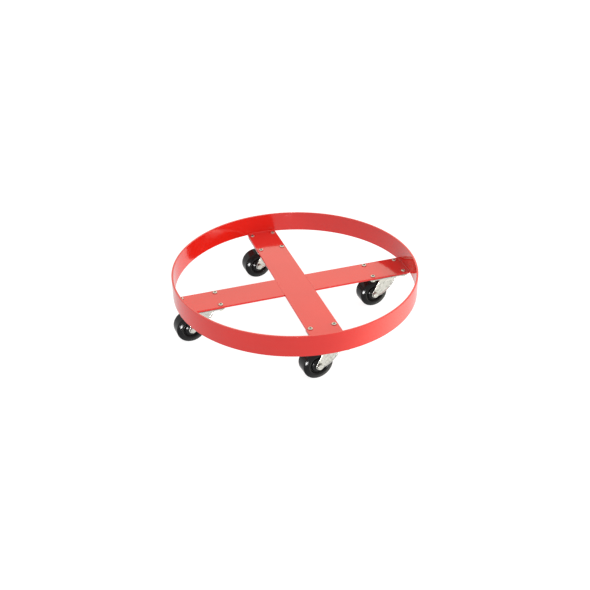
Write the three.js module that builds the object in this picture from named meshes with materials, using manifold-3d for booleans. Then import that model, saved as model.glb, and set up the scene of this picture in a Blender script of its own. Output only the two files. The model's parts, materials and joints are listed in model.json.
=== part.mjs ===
// Drum dolly: a rolled flat-bar hoop with a welded cross inside its bottom edge,
// carried on four swivel plate casters that are bolted under the ends of the cross.
// Millimetres, +Z up. The origin is on the floor, under the centre of the hoop.

import * as THREE from 'three';
import { mergeVertices } from 'three/addons/utils/BufferGeometryUtils.js';
import Module from 'manifold-3d';

const wasm = await Module();
wasm.setup();

// ---- Driving dimensions ------------------------------------------------------------

// Hoop: 54 mm by 3/16 in flat bar, 24 in across inside for a 55 gallon drum.
const hoopInside = 609.6;
const hoopWall = 4.8;
const hoopHeight = 54;

// Cross: one bar runs right through, and two half bars butt against it.
const barWidth = 80;
const barThickness = 4.8;
const barRise = 2; // bar tops stand this far above the hoop's bottom edge

// Bolts that hold each caster's plate under a bar.
const boltPitch = 86.4; // along the bar
const boltEdge = 10.15; // from a row of bolts to the bar's long edge
const boltToHoop = 15.7; // from the outer pair of bolts to the hoop's inner face
const boltRadius = 3.17;
const boltHeadRadius = 6;
const boltHeadHeight = 2.4;
const boltHeadShoulder = 1; // height of the head's straight side, below its dome
const boltHeadCrown = 3.6; // radius of the flat on top of the dome
const boltSocketRadius = 2.8;
const boltSocketDepth = 1.4;
const boltTip = 2.3; // thread that shows below the nut
const nutAcrossFlats = 11.1;
const nutThickness = 5.5;

// Caster top plate and the rivet that it swivels on.
const plateThickness = 3;
const plateEdge = 9.5; // from the bolts to the plate's short ends
const plateOverhang = 0.6; // how far the plate shows past each side of the bar
const plateCorner = 6;
const kingpinRadius = 5;
const kingpinHeadRadius = 9;
const kingpinHeadHeight = 2;
const kingpinHeadCrown = 6.3; // radius of the flat under the lower head's dome

// Two rows of balls, one above the fork's crown and one below it.
const upperBallTrack = 17;
const lowerBallTrack = 10.5;
const upperBallRadius = 2.2;
const lowerBallRadius = 1.7;
const upperBallCount = 8;
const lowerBallCount = 6;
const cageWidth = 3;
const cageThickness = 1.4;
const raceWidth = 4.5;
const raceThickness = 2;
const lipWall = 2; // of the lip that hangs from the plate, round the upper balls
const lipGap = 1.2; // between the lip and the top of the crown

// Fork, pressed from sheet: a flat crown with two legs that sweep back to the axle.
const forkSheet = 2.5;
const crownClearance = 10.1; // from the wheel's top to the top of the crown
const crownFront = 26;
const crownBack = 19;
const crownCorner = 6;
const trail = 33.5; // from the swivel axis back to the axle
const legTipRadius = 9;
const legFrontDrop = 5; // straight edge below the crown, before the leg sweeps back
const legSweepRun = 18; // where the front edge's curve turns, behind the crown's front
const legSweepRise = 2; // and how far above the axle
const legFrontAngle = -125; // where the front edge runs into the tip's round end

// Wheel and what it turns on.
const wheelRadius = 37.5;
const wheelWidth = 40;
const treadShoulder = 4;
const rimWidth = 6; // flat ring of the side face, inside the shoulder
const hubWall = 5;
const faceRecess = 5;
const recessSlope = 2;
const bushingRadius = 8;
const axleRadius = 4;
const axleHeadAcrossFlats = 12.7;
const axleHeadHeight = 4.2;
const axleNutThickness = 5;
const axleTip = 1.5;

// Flat sides round each turned piece, and steps round each corner of a sheet piece.
const hoopSides = 80;
const wheelSides = 24;
const lipSides = 24;
const bearingSides = 16;
const pinSides = 12;
const boltSides = 10;
const sheetCornerSteps = 6;
const sheetCurveSteps = 8;

// How far a cutter runs past the face it cuts, and corners closer than this are one.
const overshoot = 1;
const sameCorner = 1e-4;

// Clearances.
const restGap = 0.3; // between pieces that touch or are welded together
const holeClearance = 0.5; // round a bolt, rivet or axle in its hole
const runningClearance = 0.1; // between the bushing and the wheel's bore
const wheelSideGap = 1.5; // between the wheel and each leg of the fork

// Where each caster sits, and the way its wheel trails at rest, in degrees from +X.
const casters = [
  { name: 'front', barAngle: -90, trailAngle: 185.5 },
  { name: 'right', barAngle: 0, trailAngle: 183 },
  { name: 'back', barAngle: 90, trailAngle: 184 },
  { name: 'left', barAngle: 180, trailAngle: 185 },
];

// ---- Sizes that follow from them ----------------------------------------------------

const hoopRadius = hoopInside / 2;
// A faceted hoop's flats lie a little inside its corners.
const barEndRadius = hoopRadius * Math.cos(Math.PI / hoopSides) - restGap;
const boltPitchAcross = barWidth - 2 * boltEdge;
const swivelRadius = hoopRadius - boltToHoop - boltPitch / 2;
const plateLength = boltPitch + 2 * plateEdge;
const plateWidth = barWidth + 2 * plateOverhang;
const boltHoleRadius = boltRadius + holeClearance;
const kingpinHoleRadius = kingpinRadius + holeClearance;
const legInside = wheelWidth / 2 + wheelSideGap;
const crownHalfWidth = legInside + forkSheet;

const axleHeight = wheelRadius;
const crownTop = 2 * wheelRadius + crownClearance;
const upperBallsBottom = crownTop + restGap;
const plateBottom = upperBallsBottom + 2 * upperBallRadius + restGap;
const plateTop = plateBottom + plateThickness;
const barBottom = plateTop + restGap;
const barTop = barBottom + barThickness;
const hoopBottom = barTop - barRise;
const crownBottom = crownTop - forkSheet;
const lowerBallsTop = crownBottom - restGap;
const raceTop = lowerBallsTop - 2 * lowerBallRadius - restGap;
const raceBottom = raceTop - raceThickness;
const kingpinHeadTop = raceBottom - restGap;

// ---- Materials -------------------------------------------------------------------------

const redEnamel = new THREE.MeshStandardMaterial({ color: 0xd9231c, roughness: 0.2, metalness: 0 });
const zincPlate = new THREE.MeshStandardMaterial({ color: 0xc9cbc8, roughness: 0.35, metalness: 1 });
const bearingSteel = new THREE.MeshStandardMaterial({ color: 0x9c9fa1, roughness: 0.25, metalness: 1 });
const blackPlastic = new THREE.MeshStandardMaterial({ color: 0x101112, roughness: 0.25, metalness: 0 });

// ---- Shape helpers ---------------------------------------------------------------------

// A closed geometry with shared corners, without the slivers that a turned profile
// leaves on its axis.
function shared(geometry) {
  const bare = geometry.clone();
  bare.deleteAttribute('normal');
  bare.deleteAttribute('uv');
  const merged = mergeVertices(bare, sameCorner);
  const source = merged.index.array;
  const corners = [];
  for (let i = 0; i < source.length; i += 3) {
    const [a, b, c] = source.slice(i, i + 3);
    if (a !== b && b !== c && c !== a) {
      corners.push(a, b, c);
    }
  }
  merged.setIndex(corners);
  return merged;
}

function toManifold(geometry) {
  const merged = shared(geometry);
  return new wasm.Manifold(new wasm.Mesh({
    numProp: 3,
    vertProperties: new Float32Array(merged.attributes.position.array),
    triVerts: new Uint32Array(merged.index.array),
  }));
}

function toGeometry(solid) {
  const mesh = solid.getMesh();
  const geometry = new THREE.BufferGeometry();
  geometry.setAttribute('position', new THREE.BufferAttribute(mesh.vertProperties, 3));
  geometry.setIndex(new THREE.BufferAttribute(mesh.triVerts, 1));
  geometry.computeVertexNormals();
  return geometry;
}

function join(first, ...others) {
  return toGeometry(others.reduce((solid, other) => solid.add(toManifold(other)), toManifold(first)));
}

function cut(first, ...tools) {
  return toGeometry(tools.reduce((solid, tool) => solid.subtract(toManifold(tool)), toManifold(first)));
}

// A profile of [radius, height] points turned about +Z. The points run anticlockwise,
// with the radius to the right and the height up.
function turned(profile, sides) {
  const points = profile.map(([radius, height]) => new THREE.Vector2(radius, height));
  return new THREE.LatheGeometry(points, sides).rotateX(Math.PI / 2);
}

function ring(inner, outer, bottom, top, sides) {
  return turned([[inner, bottom], [outer, bottom], [outer, top], [inner, top], [inner, bottom]], sides);
}

function disc(radius, bottom, top, sides) {
  return turned([[0, bottom], [radius, bottom], [radius, top], [0, top]], sides);
}

function hexPrism(acrossFlats, bottom, top) {
  return disc(acrossFlats / Math.sqrt(3), bottom, top, 6);
}

// An outline in XY raised from bottom to top.
function raised(outline, bottom, top, arcSteps = sheetCurveSteps) {
  const settings = { depth: top - bottom, bevelEnabled: false, curveSegments: arcSteps };
  return new THREE.ExtrudeGeometry(outline, settings).translate(0, 0, bottom);
}

function roundHole(x, y, radius) {
  const hole = new THREE.Path();
  hole.absarc(x, y, radius, 0, 2 * Math.PI, true);
  return hole;
}

function roundedRectangle(left, right, halfWidth, corner) {
  const shape = new THREE.Shape();
  shape.moveTo(left + corner, -halfWidth);
  shape.absarc(right - corner, -halfWidth + corner, corner, -Math.PI / 2, 0, false);
  shape.absarc(right - corner, halfWidth - corner, corner, 0, Math.PI / 2, false);
  shape.absarc(left + corner, halfWidth - corner, corner, Math.PI / 2, Math.PI, false);
  shape.absarc(left + corner, -halfWidth + corner, corner, Math.PI, 1.5 * Math.PI, false);
  return shape;
}

// The four bolts of one caster, about a swivel axis at x on a bar that runs along X.
function boltSpots(x) {
  const spots = [];
  for (const along of [-boltPitch / 2, boltPitch / 2]) {
    for (const across of [-boltPitchAcross / 2, boltPitchAcross / 2]) {
      spots.push([x + along, across]);
    }
  }
  return spots;
}

function piece(name, geometry, material) {
  const mesh = new THREE.Mesh(geometry, material);
  mesh.name = name;
  return mesh;
}

const degrees = THREE.MathUtils.degToRad;

// ---- Hoop and cross --------------------------------------------------------------------

function hoop() {
  const geometry = ring(hoopRadius, hoopRadius + hoopWall, hoopBottom, hoopBottom + hoopHeight, hoopSides);
  return piece('hoop', geometry, redEnamel);
}

// One arm of the cross, along X, from a square inner end out to an end that follows the hoop.
function arm(start) {
  const half = barWidth / 2;
  const lean = Math.asin(half / barEndRadius);
  const outline = new THREE.Shape();
  outline.moveTo(start, half);
  outline.lineTo(start, -half);
  outline.absarc(0, 0, barEndRadius, -lean, lean, false);
  for (const [x, y] of boltSpots(swivelRadius)) {
    outline.holes.push(roundHole(x, y, boltHoleRadius));
  }
  return raised(outline, barBottom, barTop);
}

// The bar that runs right through: two arms on either side of the square crossing.
function longBar() {
  const crossing = new THREE.BoxGeometry(barWidth, barWidth, barThickness);
  crossing.translate(0, 0, (barBottom + barTop) / 2);
  const farArm = arm(barWidth / 2);
  const nearArm = farArm.clone().rotateZ(Math.PI);
  const bar = piece('cross_bar_long', join(crossing, farArm, nearArm), redEnamel);
  bar.rotation.z = Math.PI / 2;
  return bar;
}

function halfBar(name, turn) {
  const bar = piece(name, arm(barWidth / 2 + restGap), redEnamel);
  bar.rotation.z = turn;
  return bar;
}

// ---- Caster: what is fixed to the bar --------------------------------------------------

function topPlate(name) {
  const outline = roundedRectangle(-plateLength / 2, plateLength / 2, plateWidth / 2, plateCorner);
  for (const [x, y] of boltSpots(0)) {
    outline.holes.push(roundHole(x, y, boltHoleRadius));
  }
  const sinkRadius = kingpinHeadRadius + holeClearance;
  const rivetSeat = turned([
    [0, plateBottom - overshoot],
    [kingpinHoleRadius, plateBottom - overshoot],
    [kingpinHoleRadius, plateTop - kingpinHeadHeight - restGap],
    [sinkRadius, plateTop],
    [sinkRadius, plateTop + overshoot],
    [0, plateTop + overshoot],
  ], pinSides);
  const plate = raised(outline, plateBottom, plateTop, sheetCornerSteps);
  const lipInside = upperBallTrack + upperBallRadius + holeClearance;
  const insidePlate = plateBottom + plateThickness / 2;
  const lip = ring(lipInside, lipInside + lipWall, crownTop + lipGap, insidePlate, lipSides);
  return piece(`${name}_top_plate`, cut(join(plate, lip), rivetSeat), zincPlate);
}

// Rivet with a sunk upper head, flush with the plate, and a domed lower head.
function kingpin(name) {
  const profile = [
    [0, kingpinHeadTop - kingpinHeadHeight],
    [kingpinHeadCrown, kingpinHeadTop - kingpinHeadHeight],
    [kingpinHeadRadius, kingpinHeadTop - kingpinHeadHeight / 2],
    [kingpinHeadRadius, kingpinHeadTop],
    [kingpinRadius, kingpinHeadTop],
    [kingpinRadius, plateTop - kingpinHeadHeight],
    [kingpinHeadRadius, plateTop],
    [0, plateTop],
  ];
  return piece(`${name}_kingpin`, turned(profile, pinSides), zincPlate);
}

function lowerRace(name) {
  const inner = kingpinHoleRadius;
  const outer = lowerBallTrack + raceWidth;
  const lip = lowerBallTrack + lowerBallRadius + restGap;
  const profile = [
    [inner, raceBottom],
    [outer, raceBottom],
    [outer, raceTop + lowerBallRadius],
    [lip, raceTop + lowerBallRadius],
    [lip, raceTop],
    [inner, raceTop],
    [inner, raceBottom],
  ];
  return piece(`${name}_lower_race`, turned(profile, bearingSides), zincPlate);
}

// Low round head with a hexagon socket, with its nut run up under the plate.
function bolt(name, x, y) {
  const headBottom = barTop + restGap;
  const headTop = headBottom + boltHeadHeight;
  const nutTop = plateBottom - restGap;
  const nutBottom = nutTop - nutThickness;
  const shank = turned([
    [0, nutBottom - boltTip],
    [boltRadius, nutBottom - boltTip],
    [boltRadius, headBottom],
    [boltHeadRadius, headBottom],
    [boltHeadRadius, headBottom + boltHeadShoulder],
    [boltHeadCrown, headTop],
    [0, headTop],
  ], boltSides);
  const nut = hexPrism(nutAcrossFlats, nutBottom, nutTop);
  const socket = disc(boltSocketRadius, headTop - boltSocketDepth, headTop + overshoot, 6);
  const mesh = piece(name, cut(join(shank, nut), socket), zincPlate);
  mesh.position.set(x, y, 0);
  return mesh;
}

// ---- Caster: what swivels --------------------------------------------------------------

// Balls held in a flat cage, turned about the swivel axis.
function ballRing(name, trackRadius, ballRadius, count, centreHeight) {
  const cage = ring(
    trackRadius - cageWidth / 2,
    trackRadius + cageWidth / 2,
    centreHeight - cageThickness / 2,
    centreHeight + cageThickness / 2,
    count * 2,
  );
  const balls = [];
  for (let i = 0; i < count; i += 1) {
    const angle = (2 * Math.PI * i) / count;
    const ball = new THREE.OctahedronGeometry(ballRadius, 0);
    ball.translate(trackRadius * Math.cos(angle), trackRadius * Math.sin(angle), centreHeight);
    balls.push(ball);
  }
  return piece(name, join(cage, ...balls), bearingSteel);
}

// One leg's outline, drawn with the way it trails to the right and its height up.
function legOutline() {
  const tip = new THREE.Vector2(trail, axleHeight);
  // Straight back edge, from the crown to where it meets the tip's round end.
  const top = new THREE.Vector2(crownBack, crownTop);
  const reach = top.distanceTo(tip);
  const backAngle = Math.atan2(top.y - tip.y, top.x - tip.x) - Math.acos(legTipRadius / reach);
  const frontAngle = degrees(legFrontAngle);
  const outline = new THREE.Shape();
  outline.moveTo(crownBack, crownTop);
  outline.lineTo(-crownFront, crownTop);
  outline.lineTo(-crownFront, crownBottom - legFrontDrop);
  outline.quadraticCurveTo(
    -crownFront + legSweepRun,
    axleHeight + legSweepRise,
    tip.x + legTipRadius * Math.cos(frontAngle),
    tip.y + legTipRadius * Math.sin(frontAngle),
  );
  outline.absarc(tip.x, tip.y, legTipRadius, frontAngle, backAngle, false);
  outline.holes.push(roundHole(tip.x, tip.y, axleRadius + holeClearance));
  return outline;
}

function fork(name) {
  const crownOutline = roundedRectangle(-crownFront, crownBack, crownHalfWidth, crownCorner);
  crownOutline.holes.push(roundHole(0, 0, kingpinHoleRadius));
  const crown = raised(crownOutline, crownBottom, crownTop, sheetCornerSteps);
  const leg = raised(legOutline(), 0, forkSheet).rotateX(Math.PI / 2);
  const nearLeg = leg.clone().translate(0, -legInside, 0);
  const farLeg = leg.clone().translate(0, legInside + forkSheet, 0);
  return piece(`${name}_fork`, join(crown, nearLeg, farLeg), zincPlate);
}

// ---- Caster: axle and wheel, both centred on the axle line ------------------------------

function alongAxle(mesh) {
  mesh.rotation.x = -Math.PI / 2;
  mesh.position.set(trail, 0, axleHeight);
  return mesh;
}

function axleBushing(name) {
  const half = legInside - restGap;
  const bore = axleRadius + holeClearance;
  const sleeve = ring(bore, bushingRadius, -half, half, bearingSides);
  return alongAxle(piece(`${name}_axle_bushing`, sleeve, bearingSteel));
}

function axleBolt(name) {
  const headBottom = crownHalfWidth + restGap;
  const end = crownHalfWidth + 2 * restGap + axleNutThickness + axleTip;
  const shank = disc(axleRadius, -end, headBottom + axleHeadHeight / 2, pinSides);
  const head = hexPrism(axleHeadAcrossFlats, headBottom, headBottom + axleHeadHeight);
  return alongAxle(piece(`${name}_axle_bolt`, join(shank, head), zincPlate));
}

function axleNut(name) {
  const top = -crownHalfWidth - restGap;
  const body = hexPrism(axleHeadAcrossFlats, top - axleNutThickness, top);
  const threadBottom = top - axleNutThickness - overshoot;
  const thread = disc(axleRadius + restGap, threadBottom, top + overshoot, pinSides);
  return alongAxle(piece(`${name}_axle_nut`, cut(body, thread), zincPlate));
}

// Each side face has a sunk ring between hub and rim, and a flat bevel up to the tread.
function wheel(name) {
  const bore = bushingRadius + runningClearance;
  const hubRadius = bore + hubWall;
  const half = wheelWidth / 2;
  const rimOutside = wheelRadius - treadShoulder;
  const rimInside = rimOutside - rimWidth;
  const sideFace = [
    [bore, half],
    [hubRadius, half],
    [hubRadius + recessSlope, half - faceRecess],
    [rimInside - recessSlope, half - faceRecess],
    [rimInside, half],
    [rimOutside, half],
    [wheelRadius, half - treadShoulder],
  ];
  const farFace = sideFace.map(([radius, height]) => [radius, -height]);
  const profile = [...farFace, ...sideFace.reverse(), farFace[0]];
  return alongAxle(piece(`${name}_wheel`, turned(profile, wheelSides), blackPlastic));
}

// ---- Assembly --------------------------------------------------------------------------

function caster({ name, barAngle, trailAngle }) {
  const swivel = new THREE.Group();
  swivel.rotation.z = degrees(trailAngle - barAngle);
  swivel.add(
    fork(name),
    ballRing(`${name}_upper_ball_ring`, upperBallTrack, upperBallRadius, upperBallCount,
      upperBallsBottom + upperBallRadius),
    ballRing(`${name}_lower_ball_ring`, lowerBallTrack, lowerBallRadius, lowerBallCount,
      lowerBallsTop - lowerBallRadius),
    axleBushing(name),
    axleBolt(name),
    axleNut(name),
    wheel(name),
  );

  const fixed = new THREE.Group();
  const turn = degrees(barAngle);
  fixed.position.set(swivelRadius * Math.cos(turn), swivelRadius * Math.sin(turn), 0);
  fixed.rotation.z = turn;
  fixed.add(topPlate(name), kingpin(name), lowerRace(name), swivel);
  boltSpots(0).forEach(([x, y], i) => fixed.add(bolt(`${name}_bolt_${i + 1}`, x, y)));
  return fixed;
}

const dolly = new THREE.Group();
dolly.add(hoop(), longBar(), halfBar('cross_bar_right', 0), halfBar('cross_bar_left', Math.PI));

for (const place of casters) {
  dolly.add(caster(place));
}

export default dolly;
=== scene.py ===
"""Drum dolly: a red enamelled hoop with a welded cross, on four zinc-plated swivel casters.

Lengths are in metres. Each caster is drawn once in a frame of its own, with its swivel
axis at the origin, the floor at z = 0 and the wheel trailing along +X, and then set in
its four places.
"""

import json
import math

import bmesh
import bpy
from mathutils import Matrix, Vector, noise


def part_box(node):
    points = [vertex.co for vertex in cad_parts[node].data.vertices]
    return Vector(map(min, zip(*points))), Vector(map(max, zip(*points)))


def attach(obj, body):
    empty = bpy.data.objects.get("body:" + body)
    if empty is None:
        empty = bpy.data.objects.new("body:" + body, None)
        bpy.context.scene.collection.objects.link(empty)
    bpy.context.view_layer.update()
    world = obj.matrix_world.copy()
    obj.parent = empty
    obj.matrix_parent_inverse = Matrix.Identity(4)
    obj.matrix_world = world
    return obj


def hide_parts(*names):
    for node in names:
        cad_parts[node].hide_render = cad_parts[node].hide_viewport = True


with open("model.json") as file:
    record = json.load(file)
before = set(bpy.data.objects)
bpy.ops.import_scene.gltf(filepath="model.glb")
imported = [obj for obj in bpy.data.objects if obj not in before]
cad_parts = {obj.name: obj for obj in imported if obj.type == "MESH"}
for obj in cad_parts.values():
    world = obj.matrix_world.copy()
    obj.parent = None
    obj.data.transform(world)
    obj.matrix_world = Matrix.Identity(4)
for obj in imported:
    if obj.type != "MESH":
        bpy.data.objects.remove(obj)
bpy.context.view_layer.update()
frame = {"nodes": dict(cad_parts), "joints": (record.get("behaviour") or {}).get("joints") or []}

MM = 0.001
TURN = 2 * math.pi

# ---- Sizes --------------------------------------------------------------------------------

# Sheet thicknesses, holes and hardware, which no CAD node's box gives.
HOOP_WALL = 4.8 * MM
PLATE_SHEET = 3 * MM
FORK_SHEET = 2.5 * MM
BOLT_HOLE = 3.7 * MM
AXLE_HEX = 12.7 * MM
THREAD_PITCH = 1.27 * MM

# The sharpest bend in degrees that is still shaded smooth: on most pieces, on bolts and
# nuts, and on the wheels.
SMOOTH_BEND = 38
HEX_BEND = 30
WHEEL_BEND = 50

CASTERS = ("front", "right", "back", "left")
JOINTS = {joint["name"]: joint for joint in frame["joints"]}


def swivel_place(name):
    """The caster's own frame: origin under its swivel axis, +X the way its wheel trails."""
    swivel = Vector(JOINTS[f"{name}_swivel_turn"]["pos_m"])
    axle = Vector(JOINTS[f"{name}_wheel_spin"]["pos_m"])
    trail = axle - swivel
    turn = Matrix.Rotation(math.atan2(trail.y, trail.x), 4, "Z")
    return Matrix.Translation((swivel.x, swivel.y, 0)) @ turn


def fixed_place(name):
    """The same origin, with +X out along the arm of the cross."""
    swivel = Vector(JOINTS[f"{name}_swivel_turn"]["pos_m"])
    turn = Matrix.Rotation(math.atan2(swivel.y, swivel.x), 4, "Z")
    return Matrix.Translation((swivel.x, swivel.y, 0)) @ turn


def extent(node, place):
    """Lowest and highest corner of a CAD node, in the frame that place sets."""
    back = place.inverted()
    corners = [back @ vertex.co for vertex in frame["nodes"][node].data.vertices]
    return Vector(map(min, zip(*corners))), Vector(map(max, zip(*corners)))


HOOP_LOW, HOOP_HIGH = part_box("hoop")
BAR_LOW, BAR_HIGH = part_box("cross_bar_long")
PLATE_LOW, PLATE_HIGH = extent("right_top_plate", fixed_place("right"))
BOLT_LOW, BOLT_HIGH = extent("right_bolt_1", fixed_place("right"))
PIN_LOW, PIN_HIGH = extent("right_kingpin", fixed_place("right"))
RACE_LOW, RACE_HIGH = extent("right_lower_race", fixed_place("right"))
FORK_LOW, FORK_HIGH = extent("right_fork", swivel_place("right"))
UPPER_LOW, UPPER_HIGH = extent("right_upper_ball_ring", swivel_place("right"))
LOWER_LOW, LOWER_HIGH = extent("right_lower_ball_ring", swivel_place("right"))
BUSH_LOW, BUSH_HIGH = extent("right_axle_bushing", swivel_place("right"))
AXLE_LOW, AXLE_HIGH = extent("right_axle_bolt", swivel_place("right"))
NUT_LOW, NUT_HIGH = extent("right_axle_nut", swivel_place("right"))
WHEEL_LOW, WHEEL_HIGH = extent("right_wheel", swivel_place("right"))

HOOP_RADIUS = HOOP_HIGH.x
HOOP_INSIDE = HOOP_RADIUS - HOOP_WALL
BAR_HALF = BAR_HIGH.x
BAR_TOP = BAR_HIGH.z
BAR_BOTTOM = BAR_LOW.z
SHORT_BAR_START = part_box("cross_bar_right")[0].x
TRAIL = (WHEEL_LOW.x + WHEEL_HIGH.x) / 2
AXLE_HEIGHT = JOINTS["right_wheel_spin"]["pos_m"][2]
WHEEL_RADIUS = WHEEL_HIGH.x - TRAIL
WHEEL_HALF = WHEEL_HIGH.y
PLATE_BOTTOM = PLATE_HIGH.z - PLATE_SHEET


def bolt_spots(name):
    """Where a caster's four bolts stand."""
    for number in range(1, 5):
        low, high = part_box(f"{name}_bolt_{number}")
        yield number, Vector(((low.x + high.x) / 2, (low.y + high.y) / 2, 0))


# ---- Camera, light and floor ------------------------------------------------------------


def set_camera():
    """Looks down on the dolly from in front and a little to its left."""
    azimuth = math.radians(-18.124)
    elevation = math.radians(31.342)
    roll = math.radians(-0.79)
    distance = 2.1717
    turn = (
        Matrix.Rotation(azimuth, 3, "Z")
        @ Matrix.Rotation(math.pi / 2 - elevation, 3, "X")
        @ Matrix.Rotation(roll, 3, "Z")
    )
    data = bpy.data.cameras.new("camera")
    data.sensor_width = 36
    data.lens = 51.87
    data.shift_y = -0.0168
    camera = bpy.data.objects.new("camera", data)
    camera.matrix_world = turn.to_4x4()
    camera.location = Vector((0, 0, HOOP_LOW.z)) + turn @ Vector((0, 0, distance))
    bpy.context.scene.collection.objects.link(camera)
    bpy.context.scene.camera = camera


def direction(azimuth, elevation):
    """A unit vector, its azimuth in degrees from straight in front, to the right."""
    flat = math.cos(math.radians(elevation))
    turn = math.radians(azimuth)
    return (flat * math.sin(turn), -flat * math.cos(turn), math.sin(math.radians(elevation)))


# What the studio shows beyond its plain white: azimuth, elevation, sharpness and colour of
# each glow.
BRIGHTER = (
    (162, 31, 5, (0.80, 0.72, 0.52)),
    (75, -31, 6, (0.95, 0.93, 0.75)),
)
SKY = 0.70
GROUND = 0.84
# Where the ground's white turns to the sky's, as the sine of the elevation.
BLEND_START = -0.2
BLEND_END = 0.1
# A small round lamp, low and to the front left, in degrees. It stands below the floor, so it
# lights nothing and only shows as a glint in glossy faces.
LAMP_AZIMUTH = -13
LAMP_ELEVATION = -18
LAMP_RADIUS = 4.0
LAMP_BLUR = 1.5
LAMP_BRIGHTNESS = 90.0
# A square softbox, up and to the right. Glossy faces don't show it.
SOFTBOX_AZIMUTH = 60
SOFTBOX_ELEVATION = 32
SOFTBOX_DISTANCE = 2.2
SOFTBOX_SIDE = 1.1
SOFTBOX_POWER = 30
# The floor reaches this far each way, and glows a little to stay white.
FLOOR_REACH = 6
FLOOR_GREY = 0.25
FLOOR_GLOW = 0.90


def alignment(tree, view, azimuth, elevation):
    """The cosine of the angle between the view and a direction."""
    node = tree.nodes.new("ShaderNodeVectorMath")
    node.operation = "DOT_PRODUCT"
    tree.links.new(view, node.inputs[0])
    node.inputs[1].default_value = direction(azimuth, elevation)
    return node.outputs["Value"]


def added(tree, total, glow, colour):
    """The total with a glow of some colour laid over it."""
    node = tree.nodes.new("ShaderNodeVectorMath")
    node.operation = "MULTIPLY_ADD"
    tree.links.new(glow, node.inputs[0])
    node.inputs[1].default_value = colour
    tree.links.new(total, node.inputs[2])
    return node.outputs["Vector"]


def ranged(tree, value, start, end, low, high):
    """A node that stretches a value between start and end to run from low to high."""
    node = tree.nodes.new("ShaderNodeMapRange")
    ends = {"From Min": start, "From Max": end, "To Min": low, "To Max": high}
    for label, number in ends.items():
        node.inputs[label].default_value = number
    tree.links.new(value, node.inputs["Value"])
    return node


def set_studio():
    """A soft white surrounding, brighter behind and to the right, with one small lamp."""
    world = bpy.data.worlds.new("studio")
    world.use_nodes = True
    tree = world.node_tree
    view = tree.nodes.new("ShaderNodeTexCoord").outputs["Generated"]
    parts = tree.nodes.new("ShaderNodeSeparateXYZ")
    tree.links.new(view, parts.inputs["Vector"])
    rise = ranged(tree, parts.outputs["Z"], BLEND_START, BLEND_END, GROUND, SKY)
    rise.interpolation_type = "SMOOTHSTEP"
    total = rise.outputs["Result"]
    for azimuth, elevation, sharpness, colour in BRIGHTER:
        facing = math_node(tree, "MAXIMUM", alignment(tree, view, azimuth, elevation), 0.0)
        glow = math_node(tree, "POWER", facing, sharpness)
        total = added(tree, total, glow, colour)
    rim = math.cos(math.radians(LAMP_RADIUS + LAMP_BLUR))
    full = math.cos(math.radians(LAMP_RADIUS - LAMP_BLUR))
    facing = alignment(tree, view, LAMP_AZIMUTH, LAMP_ELEVATION)
    lamp = ranged(tree, facing, rim, full, 0, 1)
    total = added(tree, total, lamp.outputs["Result"], (LAMP_BRIGHTNESS,) * 3)
    tree.links.new(total, tree.nodes["Background"].inputs["Color"])
    bpy.context.scene.world = world
    bpy.context.scene.view_settings.view_transform = "Standard"


def add_softbox():
    """The key light, aimed at the middle of the hoop's bottom edge."""
    place = SOFTBOX_DISTANCE * Vector(direction(SOFTBOX_AZIMUTH, SOFTBOX_ELEVATION))
    aim = Vector((0, 0, HOOP_LOW.z))
    data = bpy.data.lights.new("softbox_right", "AREA")
    data.shape = "RECTANGLE"
    data.size = SOFTBOX_SIDE
    data.size_y = SOFTBOX_SIDE
    data.energy = SOFTBOX_POWER
    light = bpy.data.objects.new("softbox_right", data)
    light.location = place
    light.rotation_euler = (place - aim).to_track_quat("Z", "Y").to_euler()
    light.visible_glossy = False
    bpy.context.scene.collection.objects.link(light)


def add_floor():
    """A wide white floor that glossy faces don't show."""
    mesh = bpy.data.meshes.new("floor")
    bm = bmesh.new()
    bmesh.ops.create_grid(bm, x_segments=8, y_segments=8, size=FLOOR_REACH)
    bm.to_mesh(mesh)
    bm.free()
    floor = bpy.data.objects.new("floor", mesh)
    material = bpy.data.materials.new("white_sweep")
    material.use_nodes = True
    shader = material.node_tree.nodes["Principled BSDF"]
    shader.inputs["Base Color"].default_value = (FLOOR_GREY, FLOOR_GREY, FLOOR_GREY, 1)
    shader.inputs["Roughness"].default_value = 0.9
    shader.inputs["Emission Color"].default_value = (1, 1, 1, 1)
    shader.inputs["Emission Strength"].default_value = FLOOR_GLOW
    mesh.materials.append(material)
    bpy.context.scene.collection.objects.link(floor)
    floor.visible_glossy = False


# ---- Effects that several finishes share ------------------------------------------------


def new_group(name, numbers, outputs):
    """An empty shader group with number inputs (name, default) and the named outputs."""
    group = bpy.data.node_groups.new(name, "ShaderNodeTree")
    for label, value in numbers:
        socket = group.interface.new_socket(label, in_out="INPUT", socket_type="NodeSocketFloat")
        socket.default_value = value
    for label, kind in outputs:
        group.interface.new_socket(label, in_out="OUTPUT", socket_type=kind)
    return group, group.nodes.new("NodeGroupInput"), group.nodes.new("NodeGroupOutput")


def math_node(tree, operation, first, second, clamp=False):
    """A sum on two values, each a number or another node's output."""
    node = tree.nodes.new("ShaderNodeMath")
    node.operation = operation
    node.use_clamp = clamp
    for socket, value in zip(node.inputs, (first, second)):
        if isinstance(value, bpy.types.NodeSocket):
            tree.links.new(value, socket)
        else:
            socket.default_value = value
    return node.outputs[0]


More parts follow.
